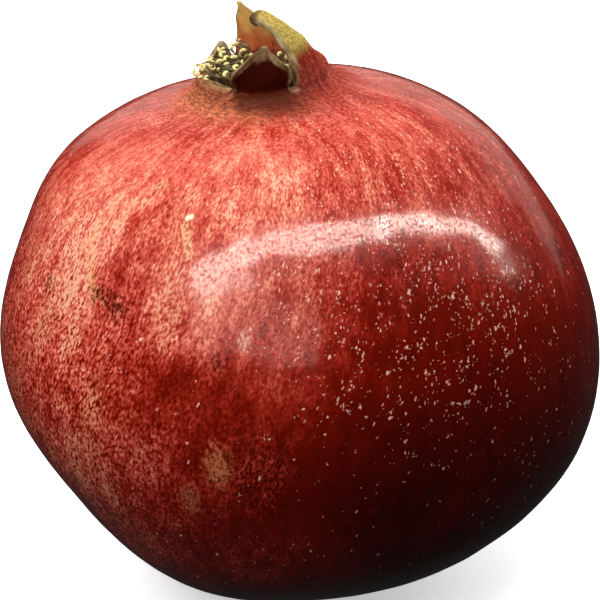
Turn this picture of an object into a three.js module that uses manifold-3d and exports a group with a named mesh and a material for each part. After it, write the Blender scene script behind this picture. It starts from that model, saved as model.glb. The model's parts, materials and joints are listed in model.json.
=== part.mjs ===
// A ripe pomegranate, resting on its stem end with the dried crown on top.
//
// Millimetres, +Z up, standing on Z = 0 and centred on the Z axis. The fruit is one
// grown solid: rind, neck, the cup of the crown and the six lobes round it. The cut
// stalk under it and the dried stamens in the cup are pieces of their own.
import * as THREE from 'three';
import { mergeVertices } from 'three/addons/utils/BufferGeometryUtils.js';
import Module from 'manifold-3d';

const wasm = await Module();
wasm.setup();

const { clamp, degToRad, lerp, smoothstep } = THREE.MathUtils;

// ---------------------------------------------------------------- driving dimensions

// The rind's outline: degrees down from the crown, and the distance from the core.
const OUTLINE = [
  [0, 40.6], [25, 43.5], [45, 45.8], [65, 45.8], [90, 47.5],
  [115, 46.6], [140, 44.4], [160, 41.8], [180, 41.7],
];
// How much fuller the fruit is on its +X side, and leaner on its -X side.
const FULLER_SIDE = [
  [0, 0], [25, 0.1], [45, -0.4], [65, 0.2], [90, 1.3],
  [115, 3.3], [140, 0.7], [160, -1.6], [180, 0],
];
const CORE = new THREE.Vector3(-1.55, 0, 41.2);  // the middle of the core, over the surface
const LEAN = degToRad(4.8);                      // the core's axis leans towards -X
const RIBS = 6;                                  // shallow ribs, one below each lobe
const RIB_HEIGHT = 0.2;

const CROWN_HEIGHT = 43.5;     // from the core to the notches between the lobes
const CROWN_RADIUS = 10.4;     // outside of the crown's wall
const CUP_RADIUS = 8.2;        // inside of it
const WALL_RADIUS = (CROWN_RADIUS + CUP_RADIUS) / 2;
const CUP_FLOOR = 36;        // from the core to the floor of the cup
const CUP_FILLET = 2.1;        // round between the cup's wall and its floor
const RIM_ROUND = 0.5;         // round along the top of the crown's wall
const NECK_FOOT_ANGLE = 25.5;  // degrees down from the crown where the neck meets the rind
const NECK_DIP = 0.6;          // depth of a shallow dip round the neck
const NECK_DIP_RADIUS = 15;
const NECK_DIP_WIDTH = 4.5;
const CROWN_PITCH = 0.09;      // the crown tips towards -Y
const CROWN_SHIFT = 0.6;       // and stands this far to the -X side of the core's axis

const STALK_RADIUS = 2.2;
const STALK_LENGTH = 2.2;
const HOLLOW_RADIUS = 3.9;     // the hollow that the stalk sits in
const HOLLOW_DEPTH = 3.2;
const HOLLOW_EDGE_ANGLE = 172; // degrees down from the crown where the hollow's edge is over
const GAP = 0.3;               // between the fruit and a piece that grows on it

const AROUND = 60;             // facets round the fruit
const ROOT = 1.6;              // how deep a lobe is rooted in the crown's wall

// The six lobes, in degrees round the crown from +X. Lean is measured inwards from
// upright; fold is the curvature across the tip, and below zero the margins turn out.
// A lobe keeps its width, or flares, up to its shoulder, and tapers from there.
const LOBES = [
  { azimuth: -91, halfWidth: 4.3, flare: 0.1, length: 7.2, leanFoot: -6, leanTip: 30,
    shoulder: 0.55, fold: -0.2, sway: 0.7, ragged: 0, tipThickness: 1.0 },
  { azimuth: -33, halfWidth: 4.7, flare: 0, length: 15, leanFoot: 20, leanTip: 94,
    shoulder: 0.12, fold: 0.16, sway: 0, ragged: 0, tipThickness: 0.9 },
  { azimuth: 27, halfWidth: 4.2, flare: 0, length: 1.3, leanFoot: 20, leanTip: 35,
    shoulder: 0.4, fold: 0.1, sway: 0.4, ragged: 0.3, tipThickness: 1.3 },
  { azimuth: 88, halfWidth: 4.6, flare: 0, length: 8.5, leanFoot: 2, leanTip: 10,
    shoulder: 0.1, fold: 0.08, sway: 3.5, ragged: 0, tipThickness: 0.9 },
  { azimuth: 136, halfWidth: 2.1, flare: 0, length: 2.9, leanFoot: 0, leanTip: 12,
    shoulder: 0.1, fold: 0.1, sway: 0, ragged: 0, tipThickness: 1.1 },
  { azimuth: -149, halfWidth: 4.5, flare: 0, length: 0.8, leanFoot: -8, leanTip: -14,
    shoulder: 0.7, fold: 0.1, sway: 0, ragged: 0.45, tipThickness: 1.5 },
];

const FILAMENT_RADIUS = 0.25;
const ANTHER_RADIUS = 0.48;
const ANTHER_LENGTH = 1.5;
const STAMEN_SPACING = 1.6;
const STAMEN_REACH = 9.7;      // height of a stamen in the middle of the cup
const STAMEN_LEAN = 4.3;       // how far the outermost lean out over the low wall
const STAMEN_DROOP = 0.8;      // and how far their heads hang down again
const STAMEN_RING = 5.9;       // radius of the patch of floor that carries stamens
const BARE_PATCH = { x: -0.9, y: 0.6 }; // no stamens are left beyond both of these

// ---------------------------------------------------------------- materials

const rind = new THREE.MeshStandardMaterial({ color: 0x9c2a1c, roughness: 0.38, metalness: 0 });
const dryStalk = new THREE.MeshStandardMaterial({ color: 0x5f4a31, roughness: 0.85, metalness: 0 });
const dryStamen = new THREE.MeshStandardMaterial({ color: 0xd8c27a, roughness: 0.75, metalness: 0 });

// ---------------------------------------------------------------- shared helpers

/** A smooth curve through [x, y] knots, level at both ends. */
function through(knots, x) {
  const last = knots.length - 1;
  const slope = (i) => (i <= 0 || i >= last
    ? 0 : (knots[i + 1][1] - knots[i - 1][1]) / (knots[i + 1][0] - knots[i - 1][0]));
  let i = 0;
  while (i < last - 1 && x > knots[i + 1][0]) i += 1;
  const span = knots[i + 1][0] - knots[i][0];
  const t = clamp((x - knots[i][0]) / span, 0, 1);
  const rise = t * t * (3 - 2 * t);
  return lerp(knots[i][1], knots[i + 1][1], rise)
    + t * (1 - t) * (1 - t) * span * slope(i)
    - t * t * (1 - t) * span * slope(i + 1);
}

/** A repeatable value from 0 to 1 for item number i; salt picks the quantity. */
function chance(i, salt) {
  const wave = Math.sin(i * 12.9898 + salt * 78.233) * 43758.5453;
  return wave - Math.floor(wave);
}

/** Joins a geometry's shared corners and drops the triangles that close up. */
function weld(geometry) {
  const bare = geometry.clone();
  bare.deleteAttribute('normal');
  bare.deleteAttribute('uv');
  const joined = mergeVertices(bare, 1e-4);
  const index = joined.getIndex().array;
  const kept = [];
  for (let i = 0; i < index.length; i += 3) {
    const [a, b, c] = [index[i], index[i + 1], index[i + 2]];
    if (a !== b && b !== c && c !== a) kept.push(a, b, c);
  }
  joined.setIndex(kept);
  return joined;
}

/** Moves every corner of a geometry by a function of its position. */
function shape(geometry, move) {
  const places = geometry.getAttribute('position');
  const point = new THREE.Vector3();
  for (let i = 0; i < places.count; i += 1) {
    point.fromBufferAttribute(places, i);
    move(point);
    places.setXYZ(i, point.x, point.y, point.z);
  }
  return geometry;
}

/** Turns a closed geometry into a solid that can be joined and cut. */
function toSolid(geometry) {
  const joined = weld(geometry);
  return new wasm.Manifold(new wasm.Mesh({
    numProp: 3,
    vertProperties: new Float32Array(joined.getAttribute('position').array),
    triVerts: new Uint32Array(joined.getIndex().array),
  }));
}

/** Turns a solid back into a geometry. */
function toGeometry(solid) {
  const mesh = solid.getMesh();
  const geometry = new THREE.BufferGeometry();
  geometry.setAttribute('position', new THREE.BufferAttribute(mesh.vertProperties, 3));
  geometry.setIndex(new THREE.BufferAttribute(mesh.triVerts, 1));
  geometry.computeVertexNormals();
  return geometry;
}

/** Spins an outline of [radius, height] points round the Z axis. */
function spin(outline, facets) {
  const points = outline.map(([radius, height]) => new THREE.Vector2(radius, height));
  return new THREE.LatheGeometry(points, facets).rotateX(Math.PI / 2);
}

// ---------------------------------------------------------------- how the fruit grew

/** Takes a point of the straight, round fruit to its place in the grown one. */
function grow(point) {
  const turn = Math.atan2(point.y, point.x);
  const flatRadius = Math.hypot(point.x, point.y);
  const distance = point.length();
  const down = THREE.MathUtils.radToDeg(Math.atan2(flatRadius, point.z));
  const rib = RIB_HEIGHT * Math.cos(RIBS * turn) * smoothstep(down, 25, 70)
    * (1 - smoothstep(down, 130, 165));
  const fuller = through(FULLER_SIDE, down) * Math.cos(turn) + rib;
  if (distance > 0) point.multiplyScalar(1 + fuller / distance);

  // The crown tips forwards, and a shallow dip runs round its neck.
  const nearCrown = smoothstep(point.z, 36, 41) * (1 - smoothstep(flatRadius, 10.5, 14));
  point.z += CROWN_PITCH * point.y * nearCrown;
  const ring = (flatRadius - NECK_DIP_RADIUS) / NECK_DIP_WIDTH;
  if (point.z > 0) point.z -= NECK_DIP * Math.exp(-ring * ring);
  point.x -= CROWN_SHIFT * nearCrown;

  const { x, z } = point;
  point.x = x * Math.cos(LEAN) - z * Math.sin(LEAN) + CORE.x;
  point.z = x * Math.sin(LEAN) + z * Math.cos(LEAN) + CORE.z;
}

/** The same, and settled on the surface: what would sink below it is flat. */
function growSettled(point) {
  grow(point);
  point.z = Math.max(point.z, 0);
}

/** The rind's [radius, height] so many degrees down from the crown. */
function rindPoint(down) {
  const distance = through(OUTLINE, down);
  const angle = degToRad(down);
  return [distance * Math.sin(angle), distance * Math.cos(angle)];
}

/** The hollow that the stalk stands in, from its middle out to the rind. */
function hollowOutline() {
  const mouth = -OUTLINE.at(-1)[1];
  return [
    [0, mouth + HOLLOW_DEPTH],
    [HOLLOW_RADIUS * 0.7, mouth + HOLLOW_DEPTH],
    [HOLLOW_RADIUS * 0.88, mouth + HOLLOW_DEPTH * 0.5],
    [HOLLOW_RADIUS, mouth + HOLLOW_DEPTH * 0.06],
  ];
}

/** The rind from the hollow's edge up to the foot of the neck. */
function rindOutline() {
  const steps = 27;
  return Array.from({ length: steps + 1 }, (_, i) => (
    rindPoint(lerp(HOLLOW_EDGE_ANGLE, NECK_FOOT_ANGLE, i / steps))));
}

/** The neck: out of the rind in a hollow curve, up to the crown's rim. */
function neckOutline() {
  const [footRadius, footHeight] = rindPoint(NECK_FOOT_ANGLE);
  const steps = 6;
  const neck = new THREE.CubicBezierCurve(
    new THREE.Vector2(footRadius, footHeight),
    new THREE.Vector2(footRadius - 4.6, footHeight + 1.3),
    new THREE.Vector2(CROWN_RADIUS + 1.2, CROWN_HEIGHT - 2.4),
    new THREE.Vector2(CROWN_RADIUS, CROWN_HEIGHT - RIM_ROUND),
  );
  return neck.getPoints(steps).slice(1).map((point) => [point.x, point.y]);
}

/** The rim's top, the cup's wall and its floor, in to the middle. */
function cupOutline() {
  return [
    [CROWN_RADIUS - RIM_ROUND, CROWN_HEIGHT],
    [CUP_RADIUS + RIM_ROUND, CROWN_HEIGHT],
    [CUP_RADIUS, CROWN_HEIGHT - RIM_ROUND],
    [CUP_RADIUS - 0.1, CUP_FLOOR + CUP_FILLET * 1.6],
    [CUP_RADIUS - CUP_FILLET * 0.35, CUP_FLOOR + CUP_FILLET * 0.6],
    [CUP_RADIUS - CUP_FILLET, CUP_FLOOR + CUP_FILLET * 0.1],
    [0, CUP_FLOOR],
  ];
}

// ---------------------------------------------------------------- the lobes

/** Radius and height of a lobe's middle line, t of the way from its foot to its tip. */
function lobeSpine(lobe, t) {
  const steps = 20;
  let radius = WALL_RADIUS;
  let height = CROWN_HEIGHT;
  if (t <= 0) return { radius, height: height + t * lobe.length, lean: 0 };
  const lean = (s) => degToRad(lerp(lobe.leanFoot, lobe.leanTip, s));
  for (let i = 0; i < steps; i += 1) {
    const angle = lean(t * (i + 0.5) / steps);
    radius -= Math.sin(angle) * t * lobe.length / steps;
    height += Math.cos(angle) * t * lobe.length / steps;
  }
  return { radius, height, lean: lean(t) };
}

/** Sets point to a place on a lobe: u across (-1..1), t along, side through it. */
function lobePoint(lobe, u, t, side, point) {
  const raggedness = 1 - lobe.ragged * (0.5 + 0.5 * Math.sin(5.3 * u + lobe.azimuth));
  const spine = lobeSpine(lobe, t > 0 ? t * raggedness : t);
  const taper = t < lobe.shoulder ? 1 : (1 - t) / (1 - lobe.shoulder);
  const flare = 1 + lobe.flare * smoothstep(t, 0, lobe.shoulder);
  const halfWidth = lobe.halfWidth * flare * Math.max(taper, 0.09);
  const curvature = lerp(1 / WALL_RADIUS, lobe.fold, smoothstep(t, 0, 0.75));
  const across = u * halfWidth;
  const bend = across * curvature;
  const sideways = (Math.abs(bend) < 1e-6 ? across : Math.sin(bend) / curvature)
    + lobe.sway * Math.max(t, 0) ** 1.2;
  const inwards = Math.abs(bend) < 1e-6 ? 0 : (1 - Math.cos(bend)) / curvature;
  const thickness = lerp(CROWN_RADIUS - CUP_RADIUS - 0.2, lobe.tipThickness,
    Math.sqrt(Math.max(t, 0)));
  const out = side * thickness * (1 - 0.3 * u * u) - inwards;
  const radius = spine.radius + out * Math.cos(spine.lean);
  const turn = degToRad(lobe.azimuth);
  point.set(
    radius * Math.cos(turn) - sideways * Math.sin(turn),
    radius * Math.sin(turn) + sideways * Math.cos(turn),
    spine.height + out * Math.sin(spine.lean),
  );
}

/** One lobe as a closed geometry in the straight fruit. */
function lobeGeometry(lobe) {
  const across = 6;
  const along = lobe.length > 5 ? 8 : 4;
  const root = ROOT / lobe.length;
  return shape(new THREE.BoxGeometry(2, 1, 1, across, along, 1), (point) => {
    const t = lerp(-root, 1, point.y + 0.5);
    lobePoint(lobe, point.x, t, point.z, point);
  });
}

// ---------------------------------------------------------------- stalk and stamens

/** The cut stalk, standing in the hollow at the stem end and clear of the surface. */
function stalkGeometry() {
  const top = -OUTLINE.at(-1)[1] + HOLLOW_DEPTH - GAP;
  const bottom = top - STALK_LENGTH;
  return spin([
    [0, bottom], [STALK_RADIUS - 0.7, bottom], [STALK_RADIUS - 0.4, bottom + 0.3],
    [STALK_RADIUS - 0.3, bottom + 1.2], [STALK_RADIUS, top - 0.2],
    [STALK_RADIUS - 0.2, top], [0, top],
  ], 20);
}

/** Feet of the stamens on the cup's floor, in rows half a step apart. */
function stamenFeet() {
  const feet = [];
  const rowStep = STAMEN_SPACING * Math.sqrt(3) / 2;
  const rows = Math.ceil(STAMEN_RING / rowStep);
  for (let row = -rows; row <= rows; row += 1) {
    for (let column = -rows - 1; column <= rows + 1; column += 1) {
      const x = (column + (Math.abs(row) % 2) / 2) * STAMEN_SPACING;
      const y = row * rowStep;
      const bare = x > BARE_PATCH.x && y > BARE_PATCH.y;
      if (Math.hypot(x, y) < STAMEN_RING && !bare) feet.push([x, y]);
    }
  }
  return feet;
}

/** The line of one stamen: it rises from the floor, then leans out over the low wall. */
function stamenLine([x, y], number) {
  const edge = Math.hypot(x, y) / STAMEN_RING;
  const reach = STAMEN_REACH + 0.8 * chance(number, 1) - edge;
  const lean = STAMEN_LEAN * smoothstep(-x, -STAMEN_RING, 4);
  const droop = STAMEN_DROOP * smoothstep(-x, 1, STAMEN_RING);
  const point = (t) => new THREE.Vector3(
    x * (1 + 0.1 * t) - lean * t ** 3,
    y * (1 + 0.04 * t),
    CUP_FLOOR + GAP + 0.2 + reach * t * (2 - t) - droop * t ** 4,
  );
  return new THREE.CatmullRomCurve3([0, 0.2, 0.4, 0.6, 0.8, 1].map(point));
}

/** One stamen: a straight turned filament with its anther, bent along its line. */
function stamenGeometry(foot, number) {
  const line = stamenLine(foot, number);
  const length = line.getLength();
  const neck = length - ANTHER_LENGTH;
  const thread = spin([
    [0, 0], [FILAMENT_RADIUS, 0.05], [FILAMENT_RADIUS, neck * 0.34],
    [FILAMENT_RADIUS, neck * 0.67], [FILAMENT_RADIUS, neck],
    [ANTHER_RADIUS, neck + ANTHER_LENGTH * 0.3], [ANTHER_RADIUS, neck + ANTHER_LENGTH * 0.7],
    [FILAMENT_RADIUS, length - 0.1], [0, length],
  ], 6);
  return shape(thread, (point) => {
    const t = clamp(point.z / length, 0, 1);
    const centre = line.getPointAt(t);
    const ahead = line.getTangentAt(t);
    const side = new THREE.Vector3(0, 1, 0).cross(ahead).normalize();
    const up = new THREE.Vector3().crossVectors(ahead, side);
    const { x, y } = point;
    point.copy(centre).addScaledVector(side, x).addScaledVector(up, y);
    grow(point);
  });
}

// ---------------------------------------------------------------- the pomegranate

function named(name, geometry, material) {
  const mesh = new THREE.Mesh(geometry, material);
  mesh.name = name;
  return mesh;
}

/** Rind, neck, cup and lobes, grown as one solid. */
function fruit() {
  const outline = [...hollowOutline(), ...rindOutline(), ...neckOutline(), ...cupOutline()];
  const body = shape(spin(outline, AROUND), growSettled);
  const lobes = LOBES.map((lobe) => toSolid(shape(lobeGeometry(lobe), grow)));
  const solid = lobes.reduce((whole, lobe) => whole.add(lobe), toSolid(body));
  return named('fruit', toGeometry(solid), rind);
}

const pomegranate = new THREE.Group();
pomegranate.add(fruit());
pomegranate.add(named('stem_stub', shape(weld(stalkGeometry()), grow), dryStalk));
stamenFeet().forEach((foot, i) => {
  const name = `stamen_${String(i + 1).padStart(2, '0')}`;
  pomegranate.add(named(name, weld(stamenGeometry(foot, i + 1)), dryStamen));
});

export default pomegranate;
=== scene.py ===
"""A ripe pomegranate with its dried crown, stamens and cut stalk, on a pale floor.

Sizes are in millimetres where a name or docstring says so, and each mesh is in metres.
The straight fruit is the shape before it leaned and filled out; a place on it also
steers the patterns of the skin, so that they run from the stalk to the crown.
"""

import enum
import json
import logging
import math
from collections.abc import Callable, Iterable, Sequence
from dataclasses import dataclass

import bmesh
import bpy
from mathutils import Matrix, Vector, noise

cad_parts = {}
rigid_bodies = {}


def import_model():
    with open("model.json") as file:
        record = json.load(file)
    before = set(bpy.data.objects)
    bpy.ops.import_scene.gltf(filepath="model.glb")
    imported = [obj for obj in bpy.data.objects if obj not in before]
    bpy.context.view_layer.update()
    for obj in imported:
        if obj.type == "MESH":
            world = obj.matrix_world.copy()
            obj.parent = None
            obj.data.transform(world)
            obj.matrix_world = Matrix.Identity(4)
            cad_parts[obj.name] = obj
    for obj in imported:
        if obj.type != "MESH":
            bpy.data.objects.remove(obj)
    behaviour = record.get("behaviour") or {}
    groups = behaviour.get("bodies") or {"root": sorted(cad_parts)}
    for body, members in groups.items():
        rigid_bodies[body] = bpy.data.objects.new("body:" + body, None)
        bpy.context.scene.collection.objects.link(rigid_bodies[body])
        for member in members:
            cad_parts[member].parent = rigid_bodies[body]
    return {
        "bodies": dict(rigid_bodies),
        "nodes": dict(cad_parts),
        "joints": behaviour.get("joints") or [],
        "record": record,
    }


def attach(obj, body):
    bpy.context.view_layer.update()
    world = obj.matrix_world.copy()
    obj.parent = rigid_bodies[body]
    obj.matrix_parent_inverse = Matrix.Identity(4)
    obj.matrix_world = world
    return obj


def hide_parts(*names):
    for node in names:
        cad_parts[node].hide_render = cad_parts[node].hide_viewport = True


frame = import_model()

log = logging.getLogger("pomegranate")

MM = 0.001
BODY = "root"
LOBE_LAYERS = ("lobe_across", "lobe_along", "lobe_side")

Knots = tuple[tuple[float, float], ...]
Colour = tuple[float, float, float]


# ------------------------------------------------------------------ shared sums


def lerp(low: float, high: float, share: float) -> float:
    """Goes a share of the way from low to high."""
    return low + (high - low) * share


def smoothstep(value: float, low: float, high: float) -> float:
    """Rises smoothly from 0 at low to 1 at high."""
    share = min(max((value - low) / (high - low), 0.0), 1.0)
    return share * share * (3 - 2 * share)


def chance(number: int, salt: int) -> float:
    """A repeatable value from 0 to 1 for one item; salt picks the quantity."""
    wave = math.sin(number * 12.9898 + salt * 78.233) * 43758.5453
    return wave - math.floor(wave)


def through(knots: Knots, at: float) -> float:
    """A smooth curve through knots, level at both ends.

    Args:
        knots: pairs of a place and its value, in order.
        at: the place to read.

    Returns:
        The value there.
    """
    last = len(knots) - 1

    def slope(i: int) -> float:
        """Slope of the curve at knot i."""
        if i in (0, last):
            return 0.0
        (x0, y0), (x1, y1) = knots[i - 1], knots[i + 1]
        return (y1 - y0) / (x1 - x0)

    i = 0
    while i < last - 1 and at > knots[i + 1][0]:
        i += 1
    (x0, y0), (x1, y1) = knots[i], knots[i + 1]
    span = x1 - x0
    t = min(max((at - x0) / span, 0.0), 1.0)
    return (
        lerp(y0, y1, t * t * (3 - 2 * t))
        + t * (1 - t) ** 2 * span * slope(i)
        - t * t * (1 - t) * span * slope(i + 1)
    )


# ------------------------------------------------------------------ how it grew


@dataclass(frozen=True)
class Growth:
    """The laws of growth: the straight outline, and what bent it. In millimetres."""

    outline: Knots = (
        (0, 40.6), (25, 43.5), (45, 45.8), (65, 45.8), (90, 47.5),
        (115, 46.6), (140, 44.4), (160, 41.8), (180, 41.7),
    )
    fuller_side: Knots = (
        (0, 0), (25, 0.1), (45, -0.4), (65, 0.2), (90, 1.3),
        (115, 3.3), (140, 0.7), (160, -1.6), (180, 0),
    )
    core: tuple[float, float, float] = (-1.55, 0.0, 41.2)
    lean: float = math.radians(4.8)
    ribs: int = 6
    rib_height: float = 0.2
    crown_height: float = 43.5
    crown_radius: float = 10.4
    cup_radius: float = 8.2
    cup_floor: float = 36.0
    neck_foot: float = 25.5
    neck_dip: float = 0.6
    neck_dip_radius: float = 15.0
    neck_dip_width: float = 4.5
    crown_pitch: float = 0.09
    crown_shift: float = 0.6
    hollow_radius: float = 3.9
    hollow_depth: float = 3.2
    hollow_edge: float = 172.0

    @property
    def wall_radius(self) -> float:
        """Radius of the middle of the crown's wall."""
        return (self.crown_radius + self.cup_radius) / 2

    def rind_point(self, down: float) -> tuple[float, float]:
        """Radius and height of the rind, so many degrees down from the crown."""
        distance = through(self.outline, down)
        angle = math.radians(down)
        return distance * math.sin(angle), distance * math.cos(angle)

    def grown(self, place: Vector) -> Vector:
        """Takes a place on the straight fruit to its place on the grown one.

        Args:
            place: a place on the straight fruit, in millimetres.

        Returns:
            The same place on the grown fruit, in millimetres.
        """
        turn = math.atan2(place.y, place.x)
        flat = math.hypot(place.x, place.y)
        distance = place.length
        down = math.degrees(math.atan2(flat, place.z))
        rib = self.rib_height * math.cos(self.ribs * turn)
        rib *= smoothstep(down, 25, 70) * (1 - smoothstep(down, 130, 165))
        fuller = through(self.fuller_side, down) * math.cos(turn) + rib
        x, y, z = place * (1 + fuller / distance) if distance else place

        near_crown = smoothstep(z, 36, 41) * (1 - smoothstep(flat, 10.5, 14))
        z += self.crown_pitch * y * near_crown
        if z > 0:
            ring = (flat - self.neck_dip_radius) / self.neck_dip_width
            z -= self.neck_dip * math.exp(-ring * ring)
        x -= self.crown_shift * near_crown

        cos, sin = math.cos(self.lean), math.sin(self.lean)
        return Vector(self.core) + Vector((x * cos - z * sin, y, x * sin + z * cos))


@dataclass(frozen=True)
class Lobe:
    """One lobe of the crown: a bent, tapering blade that grows out of the cup's wall.

    Angles are in degrees, lengths in millimetres. Lean is measured inwards from upright.
    A lobe keeps its width up to its shoulder and tapers from there to its tip.
    """

    azimuth: float
    half_width: float
    length: float
    lean_foot: float
    lean_tip: float
    shoulder: float
    fold: float
    tip_thickness: float
    rows: int
    flare: float = 0.0
    waist: float = 1.0
    sway: float = 0.0
    ragged: float = 0.0
    roll: float = 0.0
    hook: float = 0.0
    hook_start: float = 0.8
    crumple: float = 0.12
    margin: float = 0.6
    tip_margin: float = 0.8
    skin: float = 0.3
    maroon_shade: float = 0.0
    olive: float = 0.0
    amber: float = 0.0
    dry: float = 0.5

    def lean(self, along: float) -> float:
        """How far the blade leans inwards there, in radians."""
        curl = self.hook * smoothstep(along, self.hook_start, 1.0)
        return math.radians(lerp(self.lean_foot, self.lean_tip, along) + curl)

    def spine(self, growth: Growth, along: float) -> tuple[float, float, float]:
        """Radius, height and lean of the blade's middle line.

        Args:
            growth: the fruit's laws of growth.
            along: the share of the way from the foot to the tip.

        Returns:
            Radius, height and lean in radians.
        """
        steps = 24
        radius, height = growth.wall_radius, growth.crown_height
        for i in range(steps):
            angle = self.lean(along * (i + 0.5) / steps)
            radius -= math.sin(angle) * along * self.length / steps
            height += math.cos(angle) * along * self.length / steps
        return radius, height, self.lean(along)

    def half_width_at(self, along: float) -> float:
        """Half the blade's width there."""
        taper = 1.0
        if along > self.shoulder:
            taper = ((1 - along) / (1 - self.shoulder)) ** self.waist
        flare = 1 + self.flare * smoothstep(along, 0, self.shoulder)
        return self.half_width * flare * max(taper, 0.09)

    def from_margin(self, across: float, along: float) -> float:
        """Distance in from the nearest margin, in millimetres."""
        sideways = (1 - abs(across)) * self.half_width_at(along)
        return min(sideways, (1 - along) * self.length * 0.8)

    def margin_at(self, along: float) -> float:
        """Width of the dry margin there: it widens past the shoulder."""
        past = smoothstep(along, self.shoulder - 0.12, self.shoulder + 0.12)
        return lerp(self.margin, self.tip_margin, past)

    def place(self, growth: Growth, across: float, along: float, side: float) -> Vector:
        """A place on the blade of the straight fruit.

        Args:
            growth: the fruit's laws of growth.
            across: from -1 at one margin to 1 at the other.
            along: the share of the way from the foot to the tip.
            side: 0.5 on the outer face and -0.5 on the inner one.

        Returns:
            The place, in millimetres.
        """
        torn = 1 - self.ragged * (0.5 + 0.5 * math.sin(5.3 * across + self.azimuth))
        radius, height, lean = self.spine(growth, along * torn)
        half_width = self.half_width_at(along)
        curvature = lerp(1 / growth.wall_radius, self.fold, smoothstep(along, 0, 0.75))
        width = across * half_width
        bend = width * curvature
        straight = abs(bend) < 1e-6
        sideways = width if straight else math.sin(bend) / curvature
        inwards = 0.0 if straight else (1 - math.cos(bend)) / curvature
        sideways += self.sway * along**1.2

        run = along * self.length
        coarse = noise.noise(Vector((self.azimuth, 0.3 * width, 0.33 * run)))
        fine = noise.noise(Vector((self.azimuth + 7, 1.1 * width, 0.2 * run)))
        free = smoothstep(along, 0, 0.35)
        sideways += free * abs(across) * 0.5 * coarse
        lip = 1 - smoothstep(self.from_margin(across, along), 0, 1.3 * self.margin_at(along))
        thickness = lerp(1.9, self.tip_thickness, math.sqrt(along))
        thickness *= 1 - 0.3 * across * across * (1 - 0.8 * min(self.roll, 1))
        out = side * thickness - inwards + self.roll * lip * free
        out += free * self.crumple * (1.6 * coarse + fine)
        radius += out * math.cos(lean)
        turn = math.radians(self.azimuth)
        return Vector((
            radius * math.cos(turn) - sideways * math.sin(turn),
            radius * math.sin(turn) + sideways * math.cos(turn),
            height + out * math.sin(lean),
        ))


# ------------------------------------------------------------------ nodes


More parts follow.
